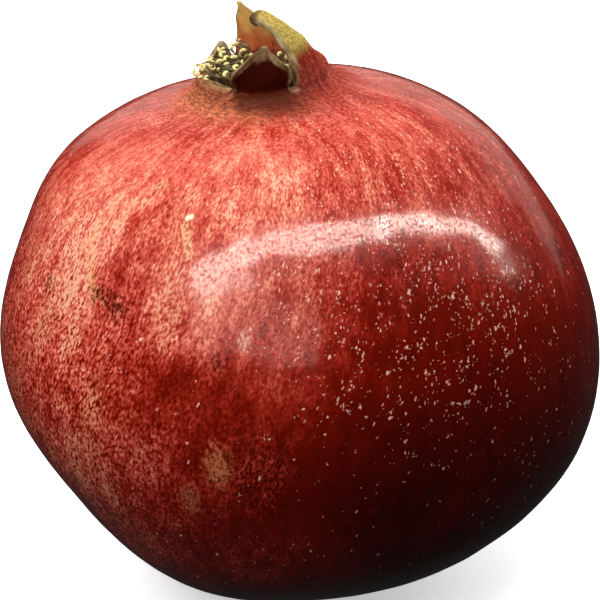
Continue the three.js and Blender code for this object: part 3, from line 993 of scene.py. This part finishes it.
@dataclass(frozen=True)
class FloorFinish:
    """Plain pale studio floor, very slightly uneven in tone."""

    pale: Colour = (0.93, 0.93, 0.92)
    paler: Colour = (0.96, 0.96, 0.95)

    def material(self) -> bpy.types.Material:
        """Builds the material."""
        material, graph = new_material("studio_floor")
        place = graph.add("ShaderNodeTexCoord").outputs["Object"]
        cloud = graph.noise(place, 6.0, 2.0)
        finish_surface(
            graph, cloud, 0.02, 0.0005,
            Base_Color=graph.ramp(cloud, ((0.3, self.pale), (0.7, self.paler))),
            Roughness=graph.linear(cloud, 0.1, 0.8),
            Emission_Color=(1.0, 1.0, 1.0), Emission_Strength=0.45,
        )
        return material


# ------------------------------------------------------------------ pieces


class Slot(enum.Enum):
    """The record's material slots."""

    RIND = "rind"
    STALK = "dry_stalk"
    STAMEN = "dry_stamen"


def verts_of(made: Sequence[object]) -> list[bmesh.types.BMVert]:
    """The corners among the things that an operator made."""
    return [item for item in made if isinstance(item, bmesh.types.BMVert)]


def edges_of(made: Sequence[object]) -> list[bmesh.types.BMEdge]:
    """The edges among the things that an operator made."""
    return [item for item in made if isinstance(item, bmesh.types.BMEdge)]


def finish_piece(bm: bmesh.types.BMesh, name: str,
                 materials: Sequence[bpy.types.Material], stands_for: Sequence[str],
                 levels: int = 0) -> bpy.types.Object:
    """Turns a bmesh in metres into a finished piece on the fruit's body.

    Args:
        bm: the mesh, which is freed.
        name: the piece's name.
        materials: its materials, in the order of the faces' numbers.
        stands_for: the nodes that it replaces.
        levels: levels of subdivision.

    Returns:
        The piece.
    """
    mesh = bpy.data.meshes.new(name)
    bm.to_mesh(mesh)
    bm.free()
    mesh.polygons.foreach_set("use_smooth", [True] * len(mesh.polygons))
    for material in materials:
        mesh.materials.append(material)
    piece = bpy.data.objects.new(name, mesh)
    bpy.context.scene.collection.objects.link(piece)
    if levels:
        smooth = piece.modifiers.new("smooth", "SUBSURF")
        smooth.levels = smooth.render_levels = levels
    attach(piece, BODY)
    if stands_for:
        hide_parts(*stands_for)
    return piece


@dataclass
class Fruit:
    """Rind, neck, cup and the crown's six lobes, grown as one skin."""

    growth: Growth
    around: int = 160
    rind_rings: int = 60
    neck_rings: int = 12
    waves: Knots = ((0.085, 0.16), (0.3, 0.07), (0.55, 0.05))
    lobes: tuple[Lobe, ...] = (
        Lobe(azimuth=-91, half_width=4.3, length=7.1, lean_foot=-9.5, lean_tip=29.6,
             shoulder=0.53, flare=0.08, fold=-0.11, sway=1.0, tip_thickness=1.0, rows=16,
             roll=0.6, crumple=0.14, maroon_shade=1.0, dry=1.0, margin=0.16, tip_margin=1.2,
             skin=0.0),
        Lobe(azimuth=-28, half_width=4.2, length=15.9, lean_foot=10.4, lean_tip=87.8,
             shoulder=0.12, waist=0.54, fold=0.28, sway=-1.1, flare=-0.14,
             tip_thickness=0.9, rows=30, hook=173, hook_start=0.82, crumple=0.2, olive=1.0,
             dry=0.85, margin=0.15, tip_margin=0.3, skin=3.6),
        Lobe(azimuth=27, half_width=4.2, length=0.7, lean_foot=20, lean_tip=35,
             shoulder=0.4, fold=0.1, sway=0.4, ragged=0.3, tip_thickness=1.3, rows=3, dry=0.15),
        Lobe(azimuth=88, half_width=4.6, length=8.5, lean_foot=2, lean_tip=10,
             shoulder=0.1, fold=0.08, sway=3.5, tip_thickness=0.9, rows=18, amber=1.0, dry=0.6,
             margin=0.1, tip_margin=0.2),
        Lobe(azimuth=151, half_width=4.4, length=2.9, lean_foot=9, lean_tip=4,
             shoulder=0.1, waist=0.8, sway=-3.0, fold=0.1, tip_thickness=0.7, rows=9,
             olive=0.8, dry=0.9),
        Lobe(azimuth=-149, half_width=4.5, length=1.2, lean_foot=-8, lean_tip=-14,
             shoulder=0.7, fold=0.1, ragged=0.6, tip_thickness=0.7, rows=4, olive=1.0, dry=0.3),
    )

    def outline(self) -> list[tuple[float, float]]:
        """Radius and height from the middle of the hollow up to the middle of the cup."""
        growth = self.growth
        mouth = -growth.outline[-1][1]
        wide, deep = growth.hollow_radius, growth.hollow_depth
        hollow = [
            (wide * r, mouth + deep * z)
            for r, z in ((0, 1), (0.25, 1), (0.5, 1), (0.68, 0.98), (0.8, 0.86),
                         (0.88, 0.6), (0.94, 0.3), (1.03, 0.1), (1.2, 0.0))
        ]
        rind = [
            growth.rind_point(lerp(growth.hollow_edge, growth.neck_foot, i / self.rind_rings))
            for i in range(self.rind_rings + 1)
        ]
        foot_radius, foot_height = rind[-1]
        rim, height = growth.crown_radius, growth.crown_height
        bends = (
            (foot_radius, foot_height), (foot_radius - 4.6, foot_height + 1.3),
            (rim + 1.2, height - 2.4), (rim, height - 0.4),
        )
        neck = []
        for i in range(1, self.neck_rings + 1):
            t = i / self.neck_rings
            shares = ((1 - t) ** 3, 3 * t * (1 - t) ** 2, 3 * t * t * (1 - t), t**3)
            neck.append(tuple(
                sum(share * bend[axis] for share, bend in zip(shares, bends))
                for axis in (0, 1)
            ))
        cup, floor = growth.cup_radius, growth.cup_floor
        inside = [
            (rim - 0.1, height), (cup + 0.1, height), (cup, height - 0.4),
            *((cup - 0.02 * i, height - 0.4 - 0.55 * i) for i in range(1, 8)),
            (cup - 0.3, floor + 2.1), (cup - 0.8, floor + 1.1), (cup - 1.7, floor + 0.35),
            (cup - 2.9, floor + 0.05), (cup - 4.6, floor), (cup - 6.4, floor), (0, floor),
        ]
        return hollow + rind + neck + inside

    def mesh(self) -> bmesh.types.BMesh:
        """Spins the outline, draws the lobes out of the rim, and lets it all grow."""
        bm = bmesh.new()
        for name in LOBE_LAYERS:
            bm.verts.layers.float.new(name)
        number = bm.verts.layers.int.new("lobe_number")
        verts = [bm.verts.new((radius, 0, height)) for radius, height in self.outline()]
        edges = [bm.edges.new(pair) for pair in zip(verts, verts[1:])]
        bmesh.ops.spin(
            bm, geom=verts + edges, cent=(0, 0, 0), axis=(0, 0, 1), dvec=(0, 0, 0),
            angle=math.tau, steps=self.around, use_merge=True, use_duplicate=False,
        )
        bmesh.ops.remove_doubles(bm, verts=bm.verts, dist=1e-4)
        bmesh.ops.recalc_face_normals(bm, faces=bm.faces)
        for i, lobe in enumerate(self.lobes):
            self._raise_lobe(bm, lobe, i + 1, number)
        self._grow(bm, number)
        return bm

    def _rim_faces(self, bm: bmesh.types.BMesh, lobe: Lobe) -> list[bmesh.types.BMFace]:
        """The faces of the rim's top that a lobe grows from."""
        half_angle = math.degrees(lobe.half_width / self.growth.wall_radius)
        faces = []
        for face in bm.faces:
            middle = face.calc_center_median()
            flat = math.hypot(middle.x, middle.y)
            on_rim = abs(middle.z - self.growth.crown_height) < 1e-3
            if not on_rim or abs(flat - self.growth.wall_radius) > 0.5:
                continue
            away = math.degrees(math.atan2(middle.y, middle.x)) - lobe.azimuth
            if abs((away + 180) % 360 - 180) < half_angle:
                faces.append(face)
        return faces

    def _raise_lobe(self, bm: bmesh.types.BMesh, lobe: Lobe, index: int,
                    number: bmesh.types.BMLayerItem) -> None:
        """Draws one lobe out of the rim, row by row."""
        across, along, side = (bm.verts.layers.float[name] for name in LOBE_LAYERS)
        faces = self._rim_faces(bm, lobe)
        feet = {vert for face in faces for vert in face.verts}
        turns = {
            vert: (math.degrees(math.atan2(vert.co.y, vert.co.x)) - lobe.azimuth + 180) % 360 - 180
            for vert in feet
        }
        low, high = min(turns.values()), max(turns.values())
        for vert in feet:
            vert[across] = 2 * (turns[vert] - low) / (high - low) - 1
            outer = math.hypot(vert.co.x, vert.co.y) > self.growth.wall_radius
            vert[side] = 0.5 if outer else -0.5
            vert[number] = index
        for row in range(1, lobe.rows + 1):
            share = row / lobe.rows
            made = bmesh.ops.extrude_face_region(bm, geom=faces)["geom"]
            bmesh.ops.delete(bm, geom=faces, context="FACES")
            faces = [item for item in made if isinstance(item, bmesh.types.BMFace)]
            blend = smoothstep(share * lobe.length, 0.0, 1.2)
            for vert in verts_of(made):
                vert[along] = share
                target = lobe.place(self.growth, vert[across], share, vert[side])
                lift = Vector((vert.co.x, vert.co.y, target.z))
                vert.co = lift.lerp(target, blend) if blend < 1 else target

    def _grow(self, bm: bmesh.types.BMesh, number: bmesh.types.BMLayerItem) -> None:
        """Keeps each straight place, tints the crown, and moves all to the grown shape."""
        kept = bm.verts.layers.float_vector.new("straight_place")
        unrolled = bm.verts.layers.float_vector.new("blade_place")
        tints = bm.verts.layers.float_color.new("crown_tints")
        dryness = bm.verts.layers.float.new("dryness")
        blade = bm.verts.layers.float.new("blade")
        for vert in bm.verts:
            vert[kept] = vert.co
            vert[unrolled] = self._unroll(bm, vert, number)
            vert[tints], vert[dryness], vert[blade] = self._tint(bm, vert, number)
            grown = self.growth.grown(vert.co)
            vert.co = Vector((grown.x, grown.y, max(grown.z, 0.0)))
        bm.normal_update()
        moves = []
        for vert in bm.verts:
            place = vert[kept]
            settled = smoothstep(vert.co.z, 0.2, 3.0)
            wave = sum(noise.noise(place * scale) * height for scale, height in self.waves)
            moves.append(vert.normal * wave * settled)
        for vert, move in zip(bm.verts, moves):
            vert.co = (vert.co + move) * MM
        for face in bm.faces:
            crown = sum(vert[blade] for vert in face.verts) / len(face.verts)
            face.material_index = 1 if crown > 0.5 else 0

    def _on_lobe(self, bm: bmesh.types.BMesh,
                 vert: bmesh.types.BMVert) -> tuple[float, float, float]:
        """A corner's place on its lobe: how far across, how far along and on which side."""
        across, along, side = (vert[bm.verts.layers.float[name]] for name in LOBE_LAYERS)
        return across, along, side

    def _unroll(self, bm: bmesh.types.BMesh, vert: bmesh.types.BMVert,
                number: bmesh.types.BMLayerItem) -> Vector:
        """A corner's place with the crown laid flat: round it, through it and up it."""
        wall = self.growth.wall_radius
        across, along, side = self._on_lobe(bm, vert)
        if vert[number] == 0 or along == 0:
            turn = math.atan2(vert.co.y, vert.co.x)
            return Vector((wall * turn, math.hypot(vert.co.x, vert.co.y), vert.co.z))
        lobe = self.lobes[vert[number] - 1]
        round_it = wall * math.radians(lobe.azimuth) + across * lobe.half_width_at(along)
        up = self.growth.crown_height + along * lobe.length
        return Vector((round_it, wall + 2 * side, up))

    def _tint(self, bm: bmesh.types.BMesh, vert: bmesh.types.BMVert,
              number: bmesh.types.BMLayerItem) -> tuple[tuple[float, ...], float, float]:
        """How far one corner is maroon or painted shade, olive and amber, how dry, and how far a
        blade.
        """
        across, along, side = self._on_lobe(bm, vert)
        flat = math.hypot(vert.co.x, vert.co.y)
        height = vert.co.z - self.growth.crown_height
        if vert[number] == 0 or along == 0:
            # Inside the cup the skin is near black: painted shade in the hollow.
            if flat < self.growth.cup_radius + 0.05 and vert.co.z > self.growth.cup_floor - 1:
                return (0.6, 0.0, 0.0, 1.0), 0.4, 1.0
            notch = smoothstep(height, -0.5, 0.1) if vert[number] == 0 else 0.0
            return (self._front_face(vert.co), 0.0, 0.0, 1.0), 0.55 * notch, notch
        lobe = self.lobes[vert[number] - 1]
        margin = lobe.from_margin(across, along) + 0.35 * noise.noise(vert.co * 0.9)
        outer = smoothstep(side, -0.5, 0.5)
        grown = along * lobe.length
        free = smoothstep(grown, lobe.skin, lobe.skin + 2.4)
        edge = lobe.margin_at(along)
        dry = lobe.dry * (1 - smoothstep(margin, edge, edge + 0.45))
        dry *= smoothstep(grown, 0.5 * lobe.skin, lobe.skin + 0.8)
        dry = max(dry, (1 - outer) * (0.9 - 0.8 * lobe.amber) * smoothstep(grown, 0.0, 1.0))
        # The front lobe's outer face is dark maroon, darkened further as painted shade in its
        # hollow.
        maroon_shade = lobe.maroon_shade * outer * smoothstep(grown + 0.5 * noise.noise(vert.co), -0.4, 0.9)
        # A long olive lobe's hooked tip turns near black: painted shade under the hook.
        maroon_shade = max(maroon_shade, 0.85 * lobe.olive * smoothstep(grown, 12.4, 14.0))
        blade = max(smoothstep(grown, 0.3 * lobe.skin, lobe.skin + 1.0), 1 - outer)
        tints = (maroon_shade, lobe.olive * outer * free, lobe.amber * (1 - outer), 1.0)
        return tints, dry, blade

    def _front_face(self, place: Vector) -> float:
        """How far the front lobe's dark face, with its painted shade, reaches down the neck there.
        """
        turn = math.degrees(math.atan2(place.y, place.x)) - self.lobes[0].azimuth
        sideways = 1 - smoothstep(abs((turn + 180) % 360 - 180), 17, 29)
        outside = math.hypot(place.x, place.y) > self.growth.cup_radius + 0.3
        ragged = place.z + 0.9 * noise.noise(place * 0.8)
        rise = smoothstep(ragged, self.growth.crown_height - 3.2, self.growth.crown_height + 0.3)
        return sideways * rise if outside else 0.0

    def build(self, skin: bpy.types.Material, crown: bpy.types.Material) -> bpy.types.Object:
        """Builds the fruit and dresses it in its skin and the dry crown."""
        return finish_piece(
            self.mesh(), "fruit_skin", [skin, crown], ["fruit"], levels=1
        )


@dataclass
class Stalk:
    """The cut stalk in its hollow, rough and a little oval. In millimetres."""

    growth: Growth
    radius: float = 2.2
    length: float = 2.2
    gap: float = 0.3
    core_share: float = 0.2
    sides: int = 32

    def build(self, material: bpy.types.Material) -> bpy.types.Object:
        """Builds and dresses the stalk."""
        bm = bmesh.new()
        cut_face = bm.verts.layers.float.new("cut_face")
        top = -self.growth.outline[-1][1] + self.growth.hollow_depth - self.gap
        bottom = top - self.length
        made = bmesh.ops.create_circle(
            bm, cap_ends=True, segments=self.sides, radius=self.radius * self.core_share
        )
        ring = made["verts"]
        stations = (
            (0.45, 0.0, 1.0), (0.68, 0.02, 1.0), (0.78, 0.04, 0.8), (0.82, 0.12, 0.2),
            (0.86, 0.3, 0.0), (0.87, 0.5, 0.0), (0.91, 0.7, 0.0), (1.0, 0.88, 0.0),
            (1.04, 1.0, 0.0), (1.0, 1.12, 0.0), (0.4, 1.2, 0.0),
        )
        for vert in ring:
            vert[cut_face] = 1.0
        edges = [edge for edge in bm.edges if edge.is_boundary]
        scale, height = self.core_share, 0.0
        for share, rise, cut in stations:
            made = bmesh.ops.extrude_edge_only(bm, edges=edges)["geom"]
            ring, edges = verts_of(made), edges_of(made)
            bmesh.ops.scale(bm, vec=(share / scale, share / scale, 1), verts=ring)
            bmesh.ops.translate(bm, vec=(0, 0, (rise - height) * self.length), verts=ring)
            scale, height = share, rise
            for vert in ring:
                vert[cut_face] = cut
        bmesh.ops.pointmerge(bm, verts=ring, merge_co=(0, 0, height * self.length))
        for vert in bm.verts:
            turn = math.atan2(vert.co.y, vert.co.x)
            flat = math.hypot(vert.co.x, vert.co.y)
            ridge = 1 + 0.05 * math.sin(7 * turn + 2.0) + 0.035 * math.sin(13 * turn)
            oval = 1 + 0.05 * math.cos(2 * turn)
            chip = 0.28 * noise.noise(Vector((vert.co.x * 1.4, vert.co.y * 1.4, 5.0)))
            chip *= 1 - smoothstep(vert.co.z, 0.0, 0.6)
            spread = ridge * oval if flat > 0.6 * self.radius else 1.0
            place = Vector((vert.co.x * spread, vert.co.y * spread, vert.co.z + chip + bottom))
            vert.co = self.growth.grown(place) * MM
        bmesh.ops.recalc_face_normals(bm, faces=bm.faces)
        return finish_piece(bm, "stalk_wood", [material], ["stem_stub"], levels=1)


@dataclass
class Stamens:
    """The dried stamens: one piece for each that stands out, and a tangle within."""

    growth: Growth
    spacing: float = 1.6
    ring: float = 5.9
    reach: float = 9.7
    lean: float = 4.3
    droop: float = 0.8
    foot: float = 0.5
    bare_x: float = -0.9
    bare_y: float = 0.6
    thread: float = 0.13
    head: float = 0.26
    curl: float = 0.42
    tangle: int = 80
    # The tangle's heads are mostly thread-coloured: painted shade deep in the crown.
    tangle_pale_shaded: float = 0.15
    rooted: float = 0.7

    def feet(self) -> list[tuple[float, float]]:
        """Feet of the stamens on the cup's floor, in rows half a step apart."""
        row_step = self.spacing * math.sqrt(3) / 2
        rows = math.ceil(self.ring / row_step)
        feet = []
        for row in range(-rows, rows + 1):
            for column in range(-rows - 1, rows + 2):
                x = (column + (abs(row) % 2) / 2) * self.spacing
                y = row * row_step
                bare = x > self.bare_x and y > self.bare_y
                if math.hypot(x, y) < self.ring and not bare:
                    feet.append((x, y))
        return feet

    def line(self, x: float, y: float, number: int, share: float) -> Vector:
        """A place on one stamen's line in the straight fruit.

        Args:
            x: its foot on the cup's floor.
            y: its foot on the cup's floor.
            number: the stamen's number.
            share: the share of the way from its foot to its head.

        Returns:
            The place, in millimetres.
        """
        edge = math.hypot(x, y) / self.ring
        back = smoothstep(y, 0, 4)
        reach = self.reach + 0.8 * chance(number, 1) - edge + 0.9 * back
        lean = self.lean * smoothstep(-x, -self.ring, 4) * (1 - 0.5 * back)
        droop = self.droop * smoothstep(-x, 1, self.ring)
        height = self.growth.cup_floor + self.foot + reach * share * (2 - share)
        return Vector((
            x * (1 + 0.1 * share) - lean * share**3,
            y * (1 + 0.04 * share),
            height - droop * share**4,
        ))

    def _tube(self, bm: bmesh.types.BMesh, places: Sequence[Vector],
              radii: Sequence[float], sides: int, head: float) -> None:
        """Adds a closed tube along a line of places.

        Args:
            bm: the mesh to add to.
            places: the middle of each ring, in millimetres.
            radii: the radius of each ring.
            sides: how many sides a ring has.
            head: 1 on a pale anther and 0 on a thread.
        """
        layer = bm.verts.layers.float["head"]
        frames = []
        side = Vector((0.31, 0.95, 0.11))
        for i, (place, radius) in enumerate(zip(places, radii)):
            ahead = (places[min(i + 1, len(places) - 1)] - places[max(i - 1, 0)]).normalized()
            up = ahead.cross(side).normalized()
            side = up.cross(ahead).normalized()
            turn = Matrix((side, up, ahead)).transposed().to_4x4()
            frames.append(Matrix.Translation(place) @ turn @ Matrix.Scale(radius, 4))
        made = bmesh.ops.create_circle(
            bm, cap_ends=True, segments=sides, radius=1.0, matrix=frames[0]
        )
        ring = made["verts"]
        every = list(ring)
        edges = list({edge for vert in ring for edge in vert.link_edges})
        for last, frame in zip(frames, frames[1:]):
            made = bmesh.ops.extrude_edge_only(bm, edges=edges)["geom"]
            ring = verts_of(made)
            edges = [edge for edge in edges_of(made) if all(vert in ring for vert in edge.verts)]
            bmesh.ops.transform(bm, matrix=frame @ last.inverted(), verts=ring)
            every += ring
        bmesh.ops.contextual_create(bm, geom=edges)
        for vert in every:
            vert[layer] = head

    def _anther(self, bm: bmesh.types.BMesh, at: Vector, ahead: Vector, number: int,
                rings: int, sides: int, pale: float) -> None:
        """Adds one curled head, like a small bean bent back on its thread."""
        turn = math.tau * chance(number, 5)
        tilt = math.radians(lerp(-60, 60, chance(number, 6)))
        spread = math.radians(lerp(150, 290, chance(number, 7)))
        size = lerp(0.8, 1.15, chance(number, 8))
        across = Vector((math.cos(turn), math.sin(turn), math.sin(tilt))).normalized()
        up = (ahead - across * ahead.dot(across)).normalized()
        curl = self.curl * size
        middle = at - up * curl * 0.8
        places, radii = [], []
        for i in range(rings):
            share = i / (rings - 1)
            angle = (share - 0.5) * spread
            places.append(middle + across * curl * math.sin(angle) + up * curl * math.cos(angle))
            radii.append(self.head * size * math.sqrt(max(1 - (2 * share - 1) ** 4, 0.08)))
        self._tube(bm, places, radii, sides, pale)

    def _stamen(self, bm: bmesh.types.BMesh, x: float, y: float, number: int,
                short: float, rings: int, sides: int, pale: float = 1.0) -> None:
        """Adds one thread with its head.

        Args:
            bm: the mesh to add to.
            x: its foot on the cup's floor.
            y: its foot on the cup's floor.
            number: the stamen's number.
            short: how long it is, as a share of the full length.
            rings: rings along the thread.
            sides: sides round the thread.
            pale: how pale its head is.
        """
        places = []
        for i in range(rings):
            share = i / (rings - 1)
            place = self.line(x, y, number, share * short)
            wave = 0.22 * math.sin(math.pi * share)
            place.x += wave * (2 * chance(number, 2) - 1) + 0.1 * math.sin(9 * share + number)
            place.y += wave * (2 * chance(number, 3) - 1) + 0.1 * math.cos(8 * share + number)
            if i == 0:
                place.z -= self.rooted
            places.append(self.growth.grown(place))
        radii = [self.thread * lerp(1.25, 0.8, i / (rings - 1)) for i in range(rings)]
        self._tube(bm, places, radii, sides, 0.0)
        ahead = (places[-1] - places[-2]).normalized()
        self._anther(bm, places[-1], ahead, number, 7 if sides > 5 else 6, sides, pale)

    def _new_mesh(self) -> bmesh.types.BMesh:
        """An empty mesh with the layer that tells heads from threads."""
        bm = bmesh.new()
        bm.verts.layers.float.new("head")
        return bm

    def _piece(self, bm: bmesh.types.BMesh, name: str, material: bpy.types.Material,
               stands_for: Sequence[str]) -> bpy.types.Object:
        """Closes a mesh of stamens, takes it to metres and makes it a piece."""
        bmesh.ops.recalc_face_normals(bm, faces=bm.faces)
        bmesh.ops.scale(bm, vec=(MM, MM, MM), verts=bm.verts)
        return finish_piece(bm, name, [material], stands_for)

    def build(self, material: bpy.types.Material) -> list[bpy.types.Object]:
        """Builds and dresses every stamen."""
        pieces = []
        for i, (x, y) in enumerate(self.feet()):
            number = i + 1
            bm = self._new_mesh()
            self._stamen(bm, x, y, number, 1.0, rings=14, sides=7)
            node = f"stamen_{number:02d}"
            pieces.append(self._piece(bm, f"{node}_dry", material, [node]))
        bm = self._new_mesh()
        for i in range(self.tangle):
            number = 100 + i
            angle = math.tau * chance(number, 11)
            flat = self.ring * math.sqrt(lerp(0.02, 1.15, chance(number, 12)))
            x, y = flat * math.cos(angle), flat * math.sin(angle)
            if x > self.bare_x - 0.4 and y > self.bare_y - 0.4:
                x, y = -abs(x), -abs(y)
            short = lerp(0.5, 0.82, chance(number, 13))
            # Tangle heads stay dark as painted shade deep in the cup.
            self._stamen(bm, x, y, number, short, rings=6, sides=5, pale=self.tangle_pale_shaded)
        pieces.append(self._piece(bm, "stamen_tangle", material, []))
        return pieces


# ------------------------------------------------------------------ the studio


class Use(enum.Enum):
    """What a panel is for: lighting surfaces, or being seen in their gloss."""

    LIGHT = "light"
    GLOSS = "gloss"


@dataclass(frozen=True)
class Panel:
    """One soft light panel. It faces straight down, turned so many degrees, or a place."""

    name: str
    use: Use
    at: tuple[float, float, float]
    size: tuple[float, float]
    power: float
    turn: float = 0.0
    towards: tuple[float, float, float] | None = None
    tint: Colour = (1.0, 0.87, 0.78)

    def build(self) -> bpy.types.Object:
        """Hangs the panel."""
        data = bpy.data.lights.new(self.name, "AREA")
        data.shape = "RECTANGLE"
        data.size, data.size_y = self.size
        data.energy = self.power
        data.color = self.tint if self.use is Use.GLOSS else (1.0, 1.0, 1.0)
        lamp = bpy.data.objects.new(self.name, data)
        lamp.location = self.at
        lamp.visible_camera = False
        lamp.visible_diffuse = self.use is Use.LIGHT
        lamp.visible_glossy = self.use is Use.GLOSS
        lamp.rotation_mode = "QUATERNION"
        if self.towards:
            aim = Vector(self.towards) - Vector(self.at)
            lamp.rotation_quaternion = aim.to_track_quat("-Z", "Y")
        else:
            turn = Matrix.Rotation(math.radians(self.turn), 3, "Z")
            lamp.rotation_quaternion = turn.to_quaternion()
        bpy.context.scene.collection.objects.link(lamp)
        return lamp


@dataclass
class Studio:
    """Pale floor, soft panels, a dim room and the camera."""

    camera_at: tuple[float, float, float] = (0.0, -0.37087, 0.19184)
    camera_to: tuple[float, float, float] = (0.0, 0.0, 0.0464)
    lens: float = 149.18
    floor_size: float = 3.0
    room_glow: float = 0.02
    sensor: float = 36.0
    clip: tuple[float, float] = (0.01, 20.0)
    panels: tuple[Panel, ...] = (
        Panel("sky", Use.LIGHT, (-0.4, 1.5, 1.07), (5.4, 3.4), 106.0),
        Panel("front_left", Use.LIGHT, (-0.45, -0.74, 1.07), (1.7, 0.26), 9.6, turn=20.0),
        Panel("front", Use.LIGHT, (-0.8, -1.42, 1.07), (1.5, 0.95), 16.6),
        Panel("left", Use.LIGHT, (-1.5, -0.3, 0.75), (0.6, 0.6), 4.5, towards=(0.0, 0.0, 0.045)),
        Panel("back", Use.LIGHT, (0.6, 1.6, 0.4), (3.2, 0.8), 31.6, towards=(0.0, 0.0, 0.05)),
        Panel("band_left", Use.GLOSS, (-0.17, -0.81, 1.03), (1.98, 0.29), 24.0, turn=25.0),
        Panel("band_end", Use.GLOSS, (-0.75, -1.29, 1.03), (0.96, 0.24), 4.5, turn=10.0),
        Panel("band_right", Use.GLOSS, (1.78, 0.365, 1.04), (2.79, 0.17), 27.0, turn=32.0,
              tint=(1.0, 0.81, 0.71)),
        Panel("band_knee", Use.GLOSS, (1.0, -0.24, 1.02), (0.8, 0.10), 3.5, turn=38.0),
        Panel("window", Use.GLOSS, (-0.64, -1.97, 1.03), (1.63, 0.96), 12.0,
              tint=(1.0, 0.62, 0.50)),
        Panel("sky_gloss", Use.GLOSS, (-0.38, 1.83, 1.03), (5.2, 2.5), 9.0),
        Panel("rim_gloss", Use.GLOSS, (0.4, 1.7, 0.4), (2.6, 0.7), 3.0,
              towards=(0.0, 0.0, 0.05)),
    )

    def build(self) -> None:
        """Builds everything round the fruit."""
        self._floor()
        for panel in self.panels:
            panel.build()
        self._room()
        self._camera()
        bpy.context.scene.view_settings.view_transform = "Standard"

    def _floor(self) -> None:
        """Lays the floor, which lights nothing from below."""
        bm = bmesh.new()
        bmesh.ops.create_grid(bm, x_segments=8, y_segments=8, size=self.floor_size / 2)
        mesh = bpy.data.meshes.new("floor")
        bm.to_mesh(mesh)
        bm.free()
        mesh.materials.append(FloorFinish().material())
        floor = bpy.data.objects.new("floor", mesh)
        floor.visible_diffuse = False
        floor.visible_glossy = False
        floor.visible_shadow = False
        bpy.context.scene.collection.objects.link(floor)

    def _room(self) -> None:
        """A room that looks white but glows only dimly."""
        world = bpy.data.worlds.new("room")
        bpy.context.scene.world = world
        world.use_nodes = True
        graph = Graph(world.node_tree)
        seen = graph.add("ShaderNodeLightPath").outputs["Is Camera Ray"]
        strength = graph.linear(seen, 1.0 - self.room_glow, self.room_glow)
        glow = graph.add("ShaderNodeBackground", Color=(1.0, 1.0, 1.0), Strength=strength)
        graph.add("ShaderNodeOutputWorld", Surface=glow.outputs[0])

    def _camera(self) -> None:
        """Places the camera."""
        data = bpy.data.cameras.new("camera")
        data.lens = self.lens
        data.sensor_width = self.sensor
        data.clip_start, data.clip_end = self.clip
        camera = bpy.data.objects.new("camera", data)
        camera.location = self.camera_at
        aim = Vector(self.camera_to) - Vector(self.camera_at)
        camera.rotation_mode = "QUATERNION"
        camera.rotation_quaternion = aim.to_track_quat("-Z", "Y")
        bpy.context.scene.collection.objects.link(camera)
        bpy.context.scene.camera = camera


def report(pieces: Iterable[bpy.types.Object]) -> None:
    """Logs each piece with its count of faces."""
    for piece in pieces:
        log.info("%s: %d faces", piece.name, len(piece.data.polygons))


def main() -> None:
    """Builds the fruit, its small parts and the studio."""
    logging.basicConfig(level=logging.INFO, format="%(message)s")
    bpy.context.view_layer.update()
    growth = Growth()
    effects = Effects()
    rind = RindFinish()
    report([Fruit(growth).build(
        rind.material(effects, "rind_skin", 0.13), rind.material(effects, "rind_crown", 0.03)
    )])
    report([Stalk(growth).build(StalkFinish().material(effects))])
    report(Stamens(growth).build(StamenFinish().material(effects)))
    Studio().build()


if __name__ == "__main__":
    main()
